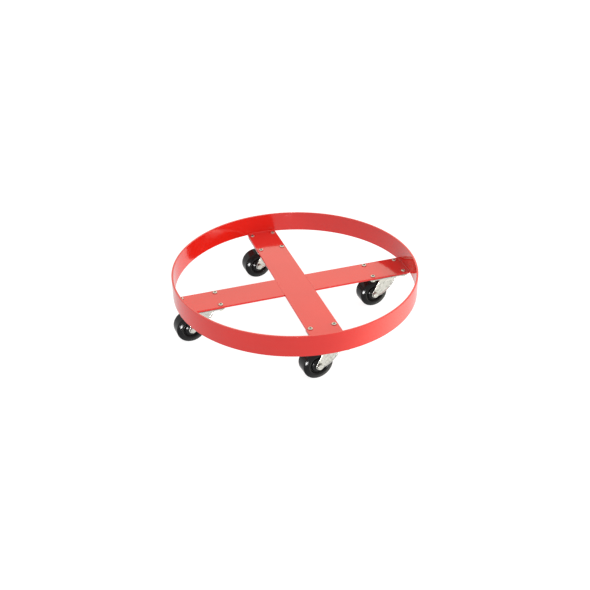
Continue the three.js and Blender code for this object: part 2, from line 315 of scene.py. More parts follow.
def mottle_group():
    """Soft cloudy variation from 0 to 1, at a size given as blotches to the metre."""
    numbers = [("Blotches", 30.0), ("Detail", 3.0), ("Contrast", 1.0)]
    group, given, result = new_group("Mottle", numbers, [("Value", "NodeSocketFloat")])
    place = group.nodes.new("ShaderNodeTexCoord")
    cloud = group.nodes.new("ShaderNodeTexNoise")
    group.links.new(place.outputs["Object"], cloud.inputs["Vector"])
    group.links.new(given.outputs["Blotches"], cloud.inputs["Scale"])
    group.links.new(given.outputs["Detail"], cloud.inputs["Detail"])
    centred = math_node(group, "SUBTRACT", cloud.outputs["Fac"], 0.5)
    spread = math_node(group, "MULTIPLY", centred, given.outputs["Contrast"])
    value = math_node(group, "ADD", spread, 0.5, clamp=True)
    group.links.new(value, result.inputs["Value"])
    return group


def grain_group():
    """A fine bump as a height from 0 to 1, such as orange peel or rolled sheet."""
    numbers = [("Grains", 500.0), ("Stretch", 1.0), ("Roughness", 0.5)]
    group, given, result = new_group("Grain", numbers, [("Height", "NodeSocketFloat")])
    place = group.nodes.new("ShaderNodeTexCoord")
    stretch = group.nodes.new("ShaderNodeCombineXYZ")
    stretch.inputs["Y"].default_value = 1
    stretch.inputs["Z"].default_value = 1
    group.links.new(given.outputs["Stretch"], stretch.inputs["X"])
    scaled = group.nodes.new("ShaderNodeVectorMath")
    scaled.operation = "MULTIPLY"
    group.links.new(place.outputs["Object"], scaled.inputs[0])
    group.links.new(stretch.outputs["Vector"], scaled.inputs[1])
    cloud = group.nodes.new("ShaderNodeTexNoise")
    cloud.inputs["Detail"].default_value = 2
    group.links.new(scaled.outputs["Vector"], cloud.inputs["Vector"])
    group.links.new(given.outputs["Grains"], cloud.inputs["Scale"])
    group.links.new(given.outputs["Roughness"], cloud.inputs["Roughness"])
    group.links.new(cloud.outputs["Fac"], result.inputs["Height"])
    return group


def dust_group():
    """A thin dust film that lies on faces turned up, as a mask."""
    numbers = [("Amount", 0.1), ("Specks", 900.0)]
    group, given, result = new_group("Dust", numbers, [("Mask", "NodeSocketFloat")])
    shape = group.nodes.new("ShaderNodeNewGeometry")
    parts = group.nodes.new("ShaderNodeSeparateXYZ")
    group.links.new(shape.outputs["Normal"], parts.inputs["Vector"])
    upward = math_node(group, "MAXIMUM", parts.outputs["Z"], 0.0)
    place = group.nodes.new("ShaderNodeTexCoord")
    specks = group.nodes.new("ShaderNodeTexNoise")
    specks.inputs["Detail"].default_value = 4
    group.links.new(place.outputs["Object"], specks.inputs["Vector"])
    group.links.new(given.outputs["Specks"], specks.inputs["Scale"])
    patchy = math_node(group, "MULTIPLY", upward, specks.outputs["Fac"])
    mask = math_node(group, "MULTIPLY", patchy, given.outputs["Amount"], clamp=True)
    group.links.new(mask, result.inputs["Mask"])
    return group


def edge_group():
    """Where a corner turns sharply within Reach, as a mask that is 1 on the edge."""
    numbers = [("Reach", 0.001), ("Gain", 2.0)]
    group, given, result = new_group("Edge wear", numbers, [("Mask", "NodeSocketFloat")])
    rounded = group.nodes.new("ShaderNodeBevel")
    rounded.samples = 4
    group.links.new(given.outputs["Reach"], rounded.inputs["Radius"])
    shape = group.nodes.new("ShaderNodeNewGeometry")
    alike = group.nodes.new("ShaderNodeVectorMath")
    alike.operation = "DOT_PRODUCT"
    group.links.new(rounded.outputs["Normal"], alike.inputs[0])
    group.links.new(shape.outputs["Normal"], alike.inputs[1])
    bend = math_node(group, "SUBTRACT", 1.0, alike.outputs["Value"])
    mask = math_node(group, "MULTIPLY", bend, given.outputs["Gain"], clamp=True)
    group.links.new(mask, result.inputs["Mask"])
    return group


def painted_shade_group():
    """How deep in a hollow of its own piece a point lies, within Reach, as a mask for painting
    shade into hollows.
    """
    numbers = [("Reach", 0.003), ("Gain", 1.5)]
    group, given, result = new_group("Painted shade", numbers, [("Mask", "NodeSocketFloat")])
    open_sky = group.nodes.new("ShaderNodeAmbientOcclusion")
    open_sky.samples = 8
    open_sky.only_local = True
    group.links.new(given.outputs["Reach"], open_sky.inputs["Distance"])
    hidden = math_node(group, "SUBTRACT", 1.0, open_sky.outputs["AO"])
    mask = math_node(group, "MULTIPLY", hidden, given.outputs["Gain"], clamp=True)
    group.links.new(mask, result.inputs["Mask"])
    return group


MOTTLE = mottle_group()
GRAIN = grain_group()
DUST = dust_group()
EDGE = edge_group()
# Painted shade: a mask that darkens hollows, taken from how closed in each point is.
PAINTED_SHADE = painted_shade_group()


# ---- Finishes -----------------------------------------------------------------------------


class Finish:
    """A material under construction, with short ways to place nodes in it."""

    def __init__(self, name):
        self.material = bpy.data.materials.new(name)
        self.material.use_nodes = True
        self.tree = self.material.node_tree
        self.shader = self.tree.nodes["Principled BSDF"]

    def set(self, **values):
        """Plain numbers for the shader's inputs, named with _ for a space."""
        for label, value in values.items():
            self.shader.inputs[label.replace("_", " ")].default_value = value

    def effect(self, group, **numbers):
        """A shared effect with its own numbers."""
        node = self.tree.nodes.new("ShaderNodeGroup")
        node.node_tree = group
        for label, value in numbers.items():
            node.inputs[label].default_value = value
        return node.outputs[0]

    def blend(self, factor, first, second):
        """Colours mixed by a mask; each is a colour or another node's output."""
        mix = self.tree.nodes.new("ShaderNodeMix")
        mix.data_type = "RGBA"
        self.tree.links.new(factor, mix.inputs["Factor"])
        for socket, value in ((mix.inputs[6], first), (mix.inputs[7], second)):
            if isinstance(value, bpy.types.NodeSocket):
                self.tree.links.new(value, socket)
            else:
                socket.default_value = (*value, 1)
        return mix.outputs[2]

    def span(self, value, low, high):
        """A 0 to 1 value stretched to run from low to high."""
        return ranged(self.tree, value, 0, 1, low, high).outputs["Result"]

    def plug(self, value, label):
        """Leads a value to one of the shader's inputs."""
        self.tree.links.new(value, self.shader.inputs[label])

    def bump(self, height, depth, under=None):
        """A bump of the given depth in metres, laid over another if one is given."""
        node = self.tree.nodes.new("ShaderNodeBump")
        node.inputs["Strength"].default_value = 1
        node.inputs["Distance"].default_value = depth
        self.tree.links.new(height, node.inputs["Height"])
        if under is not None:
            self.tree.links.new(under, node.inputs["Normal"])
        return node.outputs["Normal"]


def red_enamel():
    """Glossy sprayed enamel with a little orange peel, thinner and darker at sharp edges."""
    finish = Finish("red_enamel")
    finish.set(IOR=1.55, Coat_Weight=0.3, Coat_Roughness=0.03)
    tone = finish.effect(MOTTLE, Blotches=9.0, Detail=3.0, Contrast=1.6)
    colour = finish.blend(tone, (0.67, 0.010, 0.005), (0.75, 0.015, 0.007))
    edge = finish.effect(EDGE, Reach=0.9 * MM, Gain=1.2)
    worn = finish.blend(finish.span(edge, 0.0, 0.35), colour, (0.42, 0.006, 0.005))
    dust = finish.effect(DUST, Amount=0.05, Specks=700.0)
    finish.plug(finish.blend(dust, worn, (0.72, 0.66, 0.62)), "Base Color")
    haze = finish.effect(MOTTLE, Blotches=40.0, Detail=4.0, Contrast=1.4)
    finish.plug(finish.span(haze, 0.07, 0.16), "Roughness")
    peel = finish.effect(GRAIN, Grains=420.0, Stretch=1.0, Roughness=0.4)
    waves = finish.effect(MOTTLE, Blotches=45.0, Detail=1.0, Contrast=1.0)
    soft = finish.bump(waves, 0.06 * MM)
    finish.plug(finish.bump(peel, 0.012 * MM, soft), "Normal")
    return finish.material


def zinc_plate():
    """Bright zinc on pressed steel: pale, faintly clouded, brighter where it is rubbed."""
    finish = Finish("zinc_plated_steel")
    finish.set(Metallic=1.0)
    cloud = finish.effect(MOTTLE, Blotches=170.0, Detail=4.0, Contrast=2.6)
    colour = finish.blend(cloud, (0.48, 0.48, 0.45), (0.86, 0.85, 0.81))
    tint = finish.effect(MOTTLE, Blotches=55.0, Detail=2.0, Contrast=1.8)
    tinted = finish.blend(finish.span(tint, 0.0, 0.2), colour, (0.56, 0.52, 0.43))
    edge = finish.effect(EDGE, Reach=0.7 * MM, Gain=2.0)
    finish.plug(finish.blend(edge, tinted, (0.97, 0.97, 0.95)), "Base Color")
    finish.plug(finish.span(cloud, 0.24, 0.42), "Roughness")
    sheet = finish.effect(GRAIN, Grains=1400.0, Stretch=0.25, Roughness=0.6)
    finish.plug(finish.bump(sheet, 0.012 * MM), "Normal")
    return finish.material


def zinc_fastener():
    """Duller zinc with a faint green cast, and painted shade down in the sockets."""
    finish = Finish("zinc_plated_fasteners")
    finish.set(Metallic=1.0)
    cloud = finish.effect(MOTTLE, Blotches=260.0, Detail=3.0, Contrast=2.4)
    colour = finish.blend(cloud, (0.54, 0.56, 0.48), (0.84, 0.86, 0.75))
    edge = finish.effect(EDGE, Reach=0.4 * MM, Gain=1.2)
    rubbed = finish.blend(finish.span(edge, 0.0, 0.6), colour, (0.80, 0.80, 0.74))
    # Painted shade: the sockets and other hollows of each piece are darkened to near black in the
    # colour.
    painted_shade = finish.effect(PAINTED_SHADE, Reach=3.0 * MM, Gain=1.6)
    finish.plug(finish.blend(painted_shade, rubbed, (0.09, 0.14, 0.11)), "Base Color")
    finish.plug(finish.span(cloud, 0.26, 0.44), "Roughness")
    sheet = finish.effect(GRAIN, Grains=1800.0, Stretch=1.0, Roughness=0.6)
    finish.plug(finish.bump(sheet, 0.010 * MM), "Normal")
    return finish.material


def bearing_steel():
    """Bare ground steel with a thin film of grease."""
    finish = Finish("bearing_steel")
    finish.set(Metallic=1.0, Coat_Weight=0.3, Coat_Roughness=0.15)
    film = finish.effect(MOTTLE, Blotches=220.0, Detail=3.0, Contrast=1.8)
    finish.plug(finish.blend(film, (0.36, 0.34, 0.30), (0.60, 0.60, 0.60)), "Base Color")
    finish.plug(finish.span(film, 0.14, 0.32), "Roughness")
    scratch = finish.effect(GRAIN, Grains=2200.0, Stretch=0.1, Roughness=0.6)
    finish.plug(finish.bump(scratch, 0.006 * MM), "Normal")
    return finish.material


def black_wheel_plastic():
    """Hard black moulding, polished, with faint flow marks and a little floor dust."""
    finish = Finish("black_wheel_plastic")
    finish.set(IOR=1.46, Specular_IOR_Level=0.24)
    flow = finish.effect(MOTTLE, Blotches=70.0, Detail=4.0, Contrast=1.6)
    colour = finish.blend(flow, (0.004, 0.004, 0.0045), (0.010, 0.010, 0.011))
    edge = finish.effect(EDGE, Reach=0.8 * MM, Gain=0.8)
    rubbed = finish.blend(finish.span(edge, 0.0, 0.25), colour, (0.05, 0.05, 0.05))
    dust = finish.effect(DUST, Amount=0.05, Specks=1300.0)
    finish.plug(finish.blend(dust, rubbed, (0.30, 0.28, 0.26)), "Base Color")
    finish.plug(finish.span(flow, 0.10, 0.20), "Roughness")
    skin = finish.effect(GRAIN, Grains=900.0, Stretch=1.0, Roughness=0.5)
    finish.plug(finish.bump(skin, 0.006 * MM), "Normal")
    return finish.material


FINISHES = {
    "red_enamel": red_enamel(),
    "zinc_plated_steel": zinc_plate(),
    "zinc_plated_fasteners": zinc_fastener(),
    "bearing_steel": bearing_steel(),
    "black_wheel_plastic": black_wheel_plastic(),
}


# ---- Mesh tools ---------------------------------------------------------------------------


def softened(corners, closed=True, steps=4):
    """A 2-D outline from (x, y, fillet) corners, each rounded by its own fillet."""
    most = 0.49
    points = []
    count = len(corners)
    for i, (x, y, fillet) in enumerate(corners):
        here = Vector((x, y))
        if fillet <= 0 or (not closed and i in (0, count - 1)):
            points.append(here)
            continue
        before = Vector(corners[i - 1][:2]) - here
        after = Vector(corners[(i + 1) % count][:2]) - here
        half = before.angle(after) / 2
        reach = min(fillet / math.tan(half), most * before.length, most * after.length)
        radius = reach * math.tan(half)
        inward = (before.normalized() + after.normalized()).normalized()
        centre = here + inward * radius / math.sin(half)
        start = here + before.normalized() * reach - centre
        end = here + after.normalized() * reach - centre
        sweep = start.angle_signed(end)
        for step in range(steps + 1):
            points.append(centre + Matrix.Rotation(-sweep * step / steps, 2) @ start)
    return points


def skin(bm, loops, wrap=True):
    """Faces between neighbouring loops of vertices; wrap closes each loop on itself."""
    for first, second in zip(loops, loops[1:]):
        count = len(first)
        for i in range(count if wrap else count - 1):
            j = (i + 1) % count
            bm.faces.new((first[i], first[j], second[j], second[i]))


def capped(bm, loops):
    """A skin over loops that close on themselves, with a lid on both of its ends."""
    skin(bm, loops)
    bm.faces.new(loops[0])
    bm.faces.new(loops[-1])


def mesh_from(bm, name, bend=SMOOTH_BEND):
    """Closes off a bmesh: welded, facing out, smooth except across sharper bends."""
    bmesh.ops.remove_doubles(bm, verts=bm.verts, dist=0.0001 * MM)
    bmesh.ops.recalc_face_normals(bm, faces=bm.faces)
    mesh = bpy.data.meshes.new(name)
    bm.to_mesh(mesh)
    bm.free()
    mesh.shade_smooth()
    mesh.set_sharp_from_angle(angle=math.radians(bend))
    return mesh


def baked(shape):
    """The mesh that an object's curve or modifiers come to; the object goes."""
    bpy.context.scene.collection.objects.link(shape)
    bpy.context.view_layer.update()
    now = shape.evaluated_get(bpy.context.evaluated_depsgraph_get())
    mesh = bpy.data.meshes.new_from_object(now)
    bpy.data.objects.remove(shape)
    return mesh


def turned(bm, outline, sides, axis="Z", place=Matrix()):
    """Turns a closed (radius, height) outline about an axis, or an open one that starts
    and ends on the axis."""
    on_axis = 1e-9
    loops = []
    for point in outline:
        loop = []
        for i in range(sides if point.x > on_axis else 1):
            angle = TURN * i / sides
            x, y = point.x * math.cos(angle), point.x * math.sin(angle)
            spot = Vector((x, y, point.y)) if axis == "Z" else Vector((x, point.y, y))
            loop.append(bm.verts.new(place @ spot))
        loops.append(loop)
    pairs = list(zip(loops, loops[1:]))
    if len(loops[0]) > 1 and len(loops[-1]) > 1:
        pairs.append((loops[-1], loops[0]))
    for first, second in pairs:
        for i in range(sides):
            j = (i + 1) % sides
            ring = [first[i % len(first)], first[j % len(first)]]
            ring += [second[j % len(second)], second[i % len(second)]]
            bm.faces.new(list(dict.fromkeys(ring)))


def band(inner, outer, bottom, top, edge):
    """The outline of a ring with rounded edges."""
    corners = [(inner, bottom), (outer, bottom), (outer, top), (inner, top)]
    return softened([(*corner, edge) for corner in corners])


def hexagon(across, angle):
    """A hexagon's radius at an angle, from its width across flats."""
    away = (angle + math.pi / 6) % (math.pi / 3) - math.pi / 6
    return across / 2 / math.cos(away)


def hex_body(bm, across, bore, bottom, top, sides=72):
    """A hexagon nut or head, its corners chamfered at top and bottom. A bore of 0 is solid."""
    slope = math.tan(math.radians(30))
    chamfer = 0.96 * across / 2
    lip = 0.25 * MM
    profile = [(bore + lip, bottom, None), (chamfer, bottom, None), (None, bottom, 1)]
    profile += [(None, top, -1), (chamfer, top, None), (bore + lip, top, None)]
    if bore > 0:
        profile += [(bore, top - lip, None), (bore, bottom + lip, None)]
    loops = []
    for radius, height, side in profile:
        loop = []
        for i in range(sides):
            angle = TURN * i / sides
            reach = radius or hexagon(across, angle)
            rise = (reach - chamfer) * slope * side if side else 0
            spot = (reach * math.cos(angle), reach * math.sin(angle), height + rise)
            loop.append(bm.verts.new(spot))
        loops.append(loop)
    if bore > 0:
        skin(bm, [*loops, loops[0]])
    else:
        capped(bm, loops)


def thread(radius, start, end):
    """Outline points for turned thread rings from one height to another."""
    count = max(2, round(abs(end - start) / THREAD_PITCH))
    step = (end - start) / count
    root = radius - 0.55 * THREAD_PITCH
    ring = ((0.15, radius), (0.30, radius), (0.65, root), (0.80, root))
    points = []
    for i in range(count):
        for share, reach in ring:
            points.append(Vector((reach, start + step * (i + share))))
    return points


def rod(radius, low, high):
    """The outline of a solid round bar."""
    return [Vector((0, low)), Vector((radius, low)), Vector((radius, high)), Vector((0, high))]


def plate(name, outer, holes, bottom, top, edge):
    """A flat plate with rounded edges, from a closed outline and round holes (x, y, radius)."""
    hole_sides = 48
    curve = bpy.data.curves.new(name, "CURVE")
    curve.dimensions = "2D"
    curve.fill_mode = "BOTH"
    curve.extrude = (top - bottom) / 2 - edge
    curve.bevel_depth = edge
    curve.bevel_resolution = 3
    curve.offset = -edge
    loops = [outer]
    for x, y, radius in holes:
        loop = []
        for i in range(hole_sides):
            angle = -TURN * i / hole_sides
            loop.append(Vector((x + radius * math.cos(angle), y + radius * math.sin(angle))))
        loops.append(loop)
    for loop in loops:
        spline = curve.splines.new("POLY")
        spline.points.add(len(loop) - 1)
        spline.use_cyclic_u = True
        for point, spot in zip(spline.points, loop):
            point.co = (spot.x, spot.y, 0, 1)
    mesh = baked(bpy.data.objects.new(name, curve))
    bpy.data.curves.remove(curve)
    mesh.transform(Matrix.Translation((0, 0, (bottom + top) / 2)))
    bm = bmesh.new()
    bm.from_mesh(mesh)
    bpy.data.meshes.remove(mesh)
    return bm


def add_piece(name, mesh, slot, body, place=Matrix(), nodes=(), finish=None):
    """Sets a copy of a mesh in its place, finishes it and hands it to its CAD body."""
    mesh = mesh.copy()
    mesh.transform(place)
    mesh.materials.append(FINISHES[finish or slot])
    piece = bpy.data.objects.new(name, mesh)
    bpy.context.scene.collection.objects.link(piece)
    evened = piece.modifiers.new("even_normals", "WEIGHTED_NORMAL")
    evened.keep_sharp = True
    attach(piece, body)
    if nodes:
        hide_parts(*nodes)


# ---- Hoop and cross -----------------------------------------------------------------------


def hoop_mesh():
    """A bar rolled to a ring: rounded arrises, and walls that waver very slightly."""
    arris = 0.8 * MM
    waver_depth = 0.15 * MM
    waver_scale = 2.2
    waver_layer = 0.7
    bm = bmesh.new()
    turned(bm, band(HOOP_INSIDE, HOOP_RADIUS, HOOP_LOW.z, HOOP_HIGH.z, arris), 288)
    for vertex in bm.verts:
        angle = math.atan2(vertex.co.y, vertex.co.x)
        x, y = waver_scale * math.cos(angle), waver_scale * math.sin(angle)
        inward = waver_depth * (1 + noise.noise((x, y, waver_layer)))
        across = vertex.co.xy.length
        vertex.co.x *= (across - inward) / across
        vertex.co.y *= (across - inward) / across
    return mesh_from(bm, "hoop")


def arm_outline(start):
    """A bar's outline along X, its outer end cut to the hoop. With no start it runs right
    across, and both of its ends are cut so."""
    gap = 0.35 * MM
    steps = 24
    reach = HOOP_INSIDE - gap
    lean = math.asin(BAR_HALF / reach)
    outer = []
    for i in range(steps + 1):
        angle = -lean + 2 * lean * i / steps
        outer.append(Vector((reach * math.cos(angle), reach * math.sin(angle))))
    if start is None:
        return outer + [-point for point in outer]
    return outer + [Vector((start, BAR_HALF)), Vector((start, -BAR_HALF))]


# Each bar's casters, where it starts and how far it is turned from +X, in degrees.
BARS = {
    "cross_bar_long": (("front", "back"), None, 90),
    "cross_bar_right": (("right",), SHORT_BAR_START, 0),
    "cross_bar_left": (("left",), SHORT_BAR_START, 180),
}


def add_cross():
    """A long bar through the middle and a short one to each side, drilled for the bolts."""
    arris = 0.7 * MM
    for name, (casters, start, degrees) in BARS.items():
        turn = Matrix.Rotation(math.radians(degrees), 4, "Z")
        back = turn.inverted()
        holes = []
        for caster in casters:
            for _, spot in bolt_spots(caster):
                holes.append((*(back @ spot).xy, BOLT_HOLE))
        bm = plate(name, arm_outline(start), holes, BAR_BOTTOM, BAR_TOP, arris)
        add_piece(name, mesh_from(bm, name), "red_enamel", "root", turn, (name,))


def bead(bm, path, leg):
    """A fillet weld along a path of (point, up, out): convex, rippled, and thin at its ends."""
    sides = 5
    ripple = 0.16
    ripple_length = 1.9 * MM
    wander = 0.12
    wander_scale = 40
    thin_steps = 4
    thinnest = 0.35
    sunk = 0.2 * MM
    loops = []
    run = 0
    for i, (point, up, out) in enumerate(path):
        if i:
            run += (point - path[i - 1][0]).length
        phase = run / ripple_length
        swell = 1 + ripple * (abs(math.sin(math.pi * phase)) - 0.5)
        place = (phase * 0.35, point.x * wander_scale, point.y * wander_scale)
        swell += wander * noise.noise(place)
        from_end = min(i, len(path) - 1 - i) / thin_steps
        taper = min(1, thinnest + (1 - thinnest) * from_end)
        loop = [bm.verts.new(point - sunk * (up + out))]
        for k in range(sides + 1):
            angle = math.pi / 2 * k / sides
            size = leg * swell * taper * (0.80 + 0.12 * math.sin(2 * angle))
            spot = point + up * size * math.cos(angle) + out * size * math.sin(angle)
            loop.append(bm.verts.new(spot))
        loops.append(loop)
    capped(bm, loops)


def add_weld(name, bm):
    """Adds a weld, painted over like the hoop and the bars."""
    add_piece(name, mesh_from(bm, name), "red_enamel", "root")


def add_hoop_welds():
    """Fillets above and below where each arm meets the hoop."""
    up = Vector((0, 0, 1))
    radius = HOOP_INSIDE - 0.3 * MM
    lean = math.asin(BAR_HALF / HOOP_INSIDE) * 0.97
    steps = 180
    sides = (("top", BAR_TOP, 1, 2.6 * MM), ("under", HOOP_LOW.z, -1, 2.4 * MM))
    for name in CASTERS:
        arm = fixed_place(name).translation
        middle = math.atan2(arm.y, arm.x)
        for side, height, sense, leg in sides:
            path = []
            for i in range(steps + 1):
                angle = middle - lean + 2 * lean * i / steps
                x, y = math.cos(angle), math.sin(angle)
                point = Vector((radius * x, radius * y, height))
                path.append((point, sense * up, Vector((-sense * x, -sense * y, 0))))
            bm = bmesh.new()
            bead(bm, path, leg)
            add_weld(f"{name}_hoop_weld_{side}", bm)


def add_cross_welds():
    """Butt welds above and below where the short bars meet the long one."""
    ripple = 0.18
    ripple_length = 2.0 * MM
    reach = 0.985 * BAR_HALF
    steps, sides = 100, 8
    levels = (("top", BAR_TOP, 1.5 * MM, 0.35 * MM), ("under", BAR_BOTTOM, 2.2 * MM, -1.1 * MM))
    for name, middle in (("right", BAR_HALF), ("left", -BAR_HALF)):
        for level, height, half, rise in levels:
            bm = bmesh.new()
            loops = []
            for i in range(steps + 1):
                y = reach * (2 * i / steps - 1)
                swell = 1 + ripple * math.sin(TURN * y / ripple_length)
                taper = min(1, 0.2 + min(i, steps - i) / 5)
                loop = []
                for k in range(sides + 1):
                    angle = math.pi * k / sides
                    x = middle + half * taper * math.cos(angle)
                    z = height + rise * swell * taper * math.sin(angle)
                    loop.append(bm.verts.new((x, y, z)))
                loops.append(loop)
            capped(bm, loops)
            add_weld(f"cross_weld_{name}_{level}", bm)


# ---- Caster pieces, each in the caster's own frame ------------------------------------------


def plate_mesh():
    """Pressed top plate: rounded corners, bolt holes, and a lip round the upper balls."""
    x, y = PLATE_HIGH.xy
    corner = 6 * MM
    corners = [(x, -y, corner), (x, y, corner), (-x, y, corner), (-x, -y, corner)]
    back = fixed_place("right").inverted()
    holes = [(*(back @ spot).xy, BOLT_HOLE) for _, spot in bolt_spots("right")]
    holes.append((0, 0, PIN_HIGH.x + 0.2 * MM))
    outline = softened(corners, steps=8)
    bm = plate("top_plate", outline, holes, PLATE_BOTTOM, PLATE_HIGH.z, 0.5 * MM)
    inside = UPPER_HIGH.x
    lip = band(inside, inside + 2 * MM, PLATE_LOW.z, PLATE_BOTTOM + 1 * MM, 0.6 * MM)
    turned(bm, lip, 96)
    return mesh_from(bm, "top_plate")


def kingpin_mesh():
    """Rivet: a sunk head flush with the plate, and a domed head below the lower race."""
    shank = 5 * MM
    head = PIN_HIGH.x
    thick = 2 * MM
    low, high = PIN_LOW.z, PIN_HIGH.z
    corners = [
        (0, low, 0),
        (head * 0.62, low, 2 * MM),
        (head, low + thick * 0.7, 0.8 * MM),
        (head, low + thick, 0.3 * MM),
        (shank, low + thick, 0.3 * MM),
        (shank, high - thick, 0.3 * MM),
        (head, high - 0.2 * MM, 0.2 * MM),
        (head, high, 0.2 * MM),
        (0, high, 0),
    ]
    bm = bmesh.new()
    turned(bm, softened(corners, closed=False), 64)
    return mesh_from(bm, "kingpin")


def race_mesh():
    """Lower race: a shallow pressed cup."""
    inner, outer = 5.5 * MM, RACE_HIGH.x
    low, high = RACE_LOW.z, RACE_HIGH.z
    floor = low + 2 * MM
    corners = [
        (inner, low, 0.3 * MM),
        (outer - 1 * MM, low, 1.2 * MM),
        (outer, high, 0.5 * MM),
        (outer - 2.2 * MM, high, 0.5 * MM),
        (outer - 3.2 * MM, floor, 0.8 * MM),
        (inner, floor, 0.3 * MM),
    ]
    bm = bmesh.new()
    turned(bm, softened(corners), 72)
    return mesh_from(bm, "lower_race")


def balls_mesh(name, low, high, count):
    """A full row of balls with their thin cage."""
    radius = (high.z - low.z) / 2
    track = high.x - radius
    centre = (high.z + low.z) / 2
    wide, thick = 1.2 * MM, 0.5 * MM
    bm = bmesh.new()
    for i in range(count):
        angle = TURN * i / count
        spot = Matrix.Translation((track * math.cos(angle), track * math.sin(angle), centre))
        bmesh.ops.create_uvsphere(bm, u_segments=20, v_segments=12, radius=radius, matrix=spot)
    cage = band(track - wide, track + wide, centre - thick, centre + thick, 0.2 * MM)
    turned(bm, cage, 72)
    return mesh_from(bm, name)


# Pieces drawn about the axle's middle, and those drawn upright that lie along it.
AT_AXLE = Matrix.Translation((TRAIL, 0, AXLE_HEIGHT))
ALONG_AXLE = AT_AXLE @ Matrix.Rotation(-math.pi / 2, 4, "X")

# The fork's sheet, seen from the side: its leg curves back from the crown's front edge to a
# round tip about the axle.
LEG_STEPS = 32
LEG_FRONT_ANGLE = math.radians(-125)
LEG_TIP = 9 * MM
CROWN_BEND = 5 * MM
LEG_FRONT_TOP = FORK_HIGH.z - FORK_SHEET - 5 * MM
LEG_CURVE = (FORK_LOW.x + 18 * MM, AXLE_HEIGHT + 2 * MM)
CROWN_BACK = 19 * MM


def leg_edge():
    """The leg's side outline as (trail, height) points, from its front edge round its tip."""
    tip = Vector((TRAIL, AXLE_HEIGHT))
    start = Vector((FORK_LOW.x, LEG_FRONT_TOP))
    bend = Vector(LEG_CURVE)
    front = LEG_FRONT_ANGLE
    end = tip + LEG_TIP * Vector((math.cos(front), math.sin(front)))
    points = [Vector((FORK_LOW.x, FORK_HIGH.z))]
    for i in range(LEG_STEPS + 1):
        t = i / LEG_STEPS
        points.append((1 - t) ** 2 * start + 2 * t * (1 - t) * bend + t * t * end)
    top = Vector((CROWN_BACK, FORK_HIGH.z))
    away = top - tip
    back = math.atan2(away.y, away.x) - math.acos(LEG_TIP / away.length)
    for i in range(1, LEG_STEPS + 1):
        angle = front + (back - front) * i / LEG_STEPS
        points.append(tip + LEG_TIP * Vector((math.cos(angle), math.sin(angle))))
    points.append(top)
    return points


def leg_span(edge, height):
    """The trail positions where the leg's outline crosses a height."""
    found = []
    for first, second in zip(edge, edge[1:]):
        low, high = sorted((first.y, second.y))
        if low <= height <= high and high > low:
            share = (height - first.y) / (second.y - first.y)
            found.append(first.x + share * (second.x - first.x))
    return min(found), max(found)


def edge_distance(edge, spot):
    """How far inside the leg's outline a point lies."""
    nearest = 1.0
    for first, second in zip(edge, edge[1:]):
        run = second - first
        share = max(0, min(1, (spot - first).dot(run) / max(run.length_squared, 1e-12)))
        nearest = min(nearest, (spot - first - run * share).length)
    return nearest


def eased(value, low, high):
    """0 below low, 1 above high, and a smooth rise between them."""
    share = max(0.0, min(1.0, (value - low) / (high - low)))
    return share * share * (3 - 2 * share)


def fork_rows():
    """The fork's cross section as (y, height, turn of the sheet), from one foot to the other."""
    half = FORK_HIGH.y
    leg_top = FORK_HIGH.z - CROWN_BEND
    foot = AXLE_HEIGHT - LEG_TIP + 0.02 * MM
    crown_steps, bend_steps, leg_steps = 6, 8, 44
    rows = []
    for i in range(crown_steps):
        rows.append(((half - CROWN_BEND) * i / crown_steps, FORK_HIGH.z, 0.0))
    for i in range(bend_steps + 1):
        angle = math.pi / 2 * i / bend_steps
        y = half - CROWN_BEND + CROWN_BEND * math.sin(angle)
        rows.append((y, leg_top + CROWN_BEND * math.cos(angle), angle))
    for i in range(1, leg_steps + 1):
        share = 1 - (1 - i / leg_steps) ** 1.6
        rows.append((half, leg_top + (foot - leg_top) * share, math.pi / 2))
    return [(-y, z, -angle) for y, z, angle in reversed(rows[1:])] + rows


def leg_dish(edge, spot):
    """How far in the leg's face lies: rolled at its rim, and sunk inside a raised border."""
    deep = edge_distance(edge, spot)
    rolled = 0.7 * MM * (1 - eased(deep, 0, 1.3 * MM))
    sunk = 1.2 * MM * eased(deep, 1.5 * MM, 3.4 * MM)
    return (rolled + sunk) * eased(LEG_FRONT_TOP + 3 * MM - spot.y, 0, 9 * MM)


def fork_mesh():
    """Pressed fork: one sheet bent down into two legs, each dished inside a raised border."""
    edge = leg_edge()
    columns = 26
    upright = 1.5
    bm = bmesh.new()
    outer, inner = [], []
    for y, z, angle in fork_rows():
        first, last = leg_span(edge, min(z, FORK_HIGH.z))
        inward = Vector((0, -math.sin(angle), -math.cos(angle)))
        outside, inside = [], []
        for k in range(columns + 1):
            share = 0.5 - 0.5 * math.cos(math.pi * k / columns)
            x = first + (last - first) * share
            dish = leg_dish(edge, Vector((x, z))) if abs(angle) > upright else 0
            spot = Vector((x, y, z)) + inward * dish
            outside.append(bm.verts.new(spot))
            inside.append(bm.verts.new(spot + inward * FORK_SHEET))
        outer.append(outside)
        inner.append(inside)
    skin(bm, outer, wrap=False)
    skin(bm, inner, wrap=False)
    for side in (0, -1):
        skin(bm, [[row[side] for row in outer], [row[side] for row in inner]], wrap=False)
        skin(bm, [outer[side], inner[side]], wrap=False)
    return drilled(mesh_from(bm, "fork"))


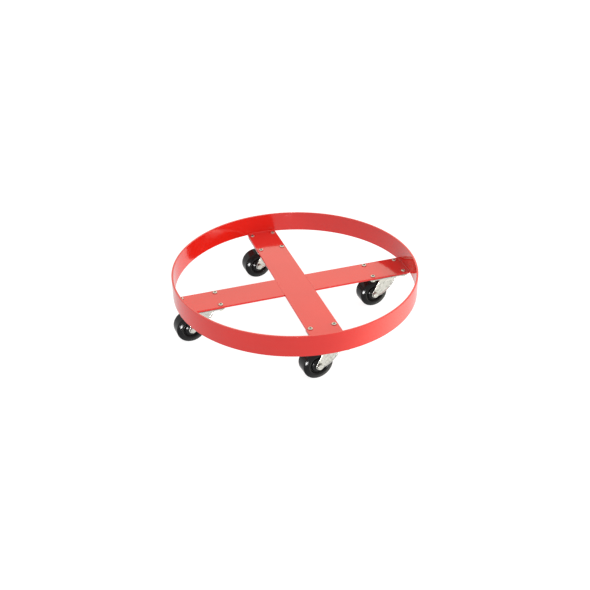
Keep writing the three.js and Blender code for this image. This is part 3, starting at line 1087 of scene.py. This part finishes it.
def drilled(mesh):
    """Cuts the kingpin hole through the crown and the axle hole through both legs."""
    pin_hole, axle_hole = 5.5 * MM, 4.4 * MM
    crown = FORK_HIGH.z
    reach = FORK_HIGH.y + 2 * MM
    cutters = bmesh.new()
    turned(cutters, rod(pin_hole, crown - 8 * MM, crown + 2 * MM), 48)
    turned(cutters, rod(axle_hole, -reach, reach), 48, "Y", AT_AXLE)
    tool = bpy.data.objects.new("drill", mesh_from(cutters, "drill"))
    bpy.context.scene.collection.objects.link(tool)
    blank = bpy.data.objects.new("blank", mesh)
    cut = blank.modifiers.new("drill", "BOOLEAN")
    cut.operation = "DIFFERENCE"
    cut.solver = "EXACT"
    cut.object = tool
    done = baked(blank)
    bpy.data.objects.remove(tool)
    done.shade_smooth()
    done.set_sharp_from_angle(angle=math.radians(SMOOTH_BEND))
    return done


def tilted(degrees):
    """A unit step in (radius, height), tilted from the axis by some degrees."""
    return Vector((math.sin(math.radians(degrees)), math.cos(math.radians(degrees))))


def arc(centre, radius, start, end, steps):
    """Outline points round a centre, from one tilt off the axis to another, in degrees."""
    points = []
    for i in range(steps + 1):
        points.append(Vector(centre) + radius * tilted(start + (end - start) * i / steps))
    return points


def carried_on(centre, radius, tilt, new_radius):
    """The centre of an arc that carries on smoothly from another at the given tilt."""
    return Vector(centre) + (radius - new_radius) * tilted(tilt)


def wheel_side():
    """Half of the wheel's outline, from its bore out over the hub, the sunk ring and the rim
    to the middle of the tread."""
    bore, hub = 8.1 * MM, 11.2 * MM
    half = WHEEL_HALF
    web = half - 5.5 * MM
    hub_radius, crest_radius, flank_radius = 30 * MM, 4 * MM, 60 * MM
    hub_arc = arc((4.75 * MM, half - 29.5 * MM), hub_radius, 13, 24, 5)
    crest_end, flank_end = 15, 25
    crest = (25.2 * MM, half - crest_radius)
    flank = carried_on(crest, crest_radius, crest_end, flank_radius)
    edge = flank + flank_radius * tilted(flank_end)
    shoulder_radius = (WHEEL_RADIUS - edge.x) / (1 - tilted(flank_end).x)
    shoulder = carried_on(flank, flank_radius, flank_end, shoulder_radius)
    corners = [(bore, half - 0.3 * MM, 0), (bore + 0.3 * MM, half, 0), (hub, half, 0)]
    side = softened(corners, closed=False) + hub_arc[:-1]
    corners = [
        (*hub_arc[-1], 0),
        (18.4 * MM, web, 1.2 * MM),
        (20.2 * MM, web, 1.2 * MM),
        (22.3 * MM, half - 1.2 * MM, 0),
    ]
    side += softened(corners, closed=False)[:-1]
    side += arc(crest, crest_radius, -45, crest_end, 5)
    side += arc(flank, flank_radius, crest_end, flank_end, 5)[1:]
    side += arc(shoulder, shoulder_radius, flank_end, 90, 8)[1:]
    parting = 0.12 * MM
    return side + [Vector((WHEEL_RADIUS, 0.5 * MM)), Vector((WHEEL_RADIUS - parting, 0))]


def wheel_mesh():
    """Moulded wheel: a coned hub, a sunk ring, and a rim that slopes off to the tread."""
    near = wheel_side()
    far = [Vector((point.x, -point.y)) for point in reversed(near[:-1])]
    bm = bmesh.new()
    turned(bm, near + far, 128, "Y")
    return mesh_from(bm, "wheel", WHEEL_BEND)


def bushing_mesh():
    """The tube that the wheel turns on."""
    radius = (BUSH_HIGH.z - BUSH_LOW.z) / 2
    bm = bmesh.new()
    turned(bm, band(4.5 * MM, radius, BUSH_LOW.y, BUSH_HIGH.y, 0.3 * MM), 64, "Y")
    return mesh_from(bm, "axle_bushing")


def axle_bolt_mesh():
    """Hexagon bolt: chamfered head with a washer face, plain shank, threaded end."""
    shank = 4 * MM
    washer = 0.47 * AXLE_HEX
    head_top = AXLE_HIGH.y
    seat = head_top - 4.2 * MM
    end = AXLE_LOW.y
    bm = bmesh.new()
    hex_body(bm, AXLE_HEX, 0, seat + 0.3 * MM, head_top)
    outline = [Vector((0, end)), Vector((shank - 0.9 * MM, end))]
    outline += thread(shank, end + 0.6 * MM, end + 8 * MM)
    outline += [Vector((shank, end + 9 * MM)), Vector((shank, seat)), Vector((washer, seat))]
    outline += [Vector((washer, seat + 0.5 * MM)), Vector((0, seat + 0.5 * MM))]
    turned(bm, outline, 48)
    return mesh_from(bm, "axle_bolt", HEX_BEND)


def axle_nut_mesh():
    """The nut on the axle bolt's far end."""
    bore = 4.1 * MM
    bm = bmesh.new()
    hex_body(bm, AXLE_HEX, bore, NUT_LOW.y, NUT_HIGH.y)
    return mesh_from(bm, "axle_nut", HEX_BEND)


def bolt_mesh():
    """Low round-headed bolt with a hexagon socket, shank and threaded tip."""
    head = 6 * MM
    shank = 3.17 * MM
    point = 0.8 * MM
    socket = 5.4 * MM
    lip = 0.25 * MM
    sides = 72
    top = BOLT_HIGH.z
    seat = top - 2.4 * MM
    floor = top - 2.2 * MM
    tip = BOLT_LOW.z
    outline = [Vector((shank - point, tip)), Vector((shank, tip + point))]
    outline += thread(shank, tip + point, PLATE_BOTTOM)
    outline += [Vector((shank, PLATE_BOTTOM)), Vector((shank, seat))]
    outline += softened(
        [
            (shank, seat, 0),
            (head, seat, 0.25 * MM),
            (head, top - 1.0 * MM, 0.8 * MM),
            (head - 1.3 * MM, top - 0.2 * MM, 1.5 * MM),
            (socket / 2 + 0.9 * MM, top, 0),
        ],
        closed=False,
    )
    angles = [TURN * i / sides for i in range(sides)]
    rings = [[(spot.x, spot.y)] * sides for spot in outline]
    for across, height in ((socket + 2 * lip, top), (socket, top - lip), (socket, floor)):
        rings.append([(hexagon(across, angle), height) for angle in angles])
    bm = bmesh.new()
    loops = []
    for ring in rings:
        loop = []
        for (reach, height), angle in zip(ring, angles):
            spot = (reach * math.cos(angle), reach * math.sin(angle), height)
            loop.append(bm.verts.new(spot))
        loops.append(loop)
    capped(bm, loops)
    return mesh_from(bm, "bolt", HEX_BEND)


def bolt_nut_mesh():
    """The nut under the top plate."""
    across, bore, tall = 11.1 * MM, 3.2 * MM, 5.5 * MM
    top = PLATE_BOTTOM - 0.3 * MM
    bm = bmesh.new()
    hex_body(bm, across, bore, top - tall, top)
    return mesh_from(bm, "bolt_nut", HEX_BEND)


def add_casters():
    """Draws each caster piece once and sets a copy of it in each of the four places."""
    zinc = "zinc_plated_steel"
    fastener = "zinc_plated_fasteners"
    steel = "bearing_steel"
    fixed = {
        "top_plate": plate_mesh(),
        "kingpin": kingpin_mesh(),
        "lower_race": race_mesh(),
    }
    swivelling = {
        "fork": (fork_mesh(), zinc, Matrix()),
        "upper_ball_ring": (balls_mesh("upper_balls", UPPER_LOW, UPPER_HIGH, 20), steel, Matrix()),
        "lower_ball_ring": (balls_mesh("lower_balls", LOWER_LOW, LOWER_HIGH, 16), steel, Matrix()),
        "axle_bolt": (axle_bolt_mesh(), zinc, ALONG_AXLE),
        "axle_nut": (axle_nut_mesh(), zinc, ALONG_AXLE),
        "axle_bushing": (bushing_mesh(), steel, AT_AXLE),
    }
    wheel = wheel_mesh()
    bolt = bolt_mesh()
    nut = bolt_nut_mesh()
    bolt_turn = 0.9
    for name in CASTERS:
        for part, mesh in fixed.items():
            node = f"{name}_{part}"
            add_piece(f"{node}_piece", mesh, zinc, "root", fixed_place(name), (node,))
        for number, spot in bolt_spots(name):
            node = f"{name}_bolt_{number}"
            turn = Matrix.Rotation(bolt_turn * number, 4, "Z")
            place = Matrix.Translation(spot) @ turn
            add_piece(f"{node}_piece", bolt, zinc, "root", place, (node,), fastener)
            add_piece(f"{name}_nut_{number}", nut, zinc, "root", place, finish=fastener)
        place = swivel_place(name)
        for part, (mesh, slot, spot) in swivelling.items():
            node = f"{name}_{part}"
            add_piece(f"{node}_piece", mesh, slot, f"{name}_swivel", place @ spot, (node,))
        node = f"{name}_wheel"
        spot = place @ AT_AXLE
        add_piece(f"{node}_piece", wheel, "black_wheel_plastic", node, spot, (node,))


# ---- Put together ---------------------------------------------------------------------------

set_camera()
set_studio()
add_softbox()
add_floor()
add_piece("hoop_ring", hoop_mesh(), "red_enamel", "root", nodes=("hoop",))
add_cross()
add_hoop_welds()
add_cross_welds()
add_casters()
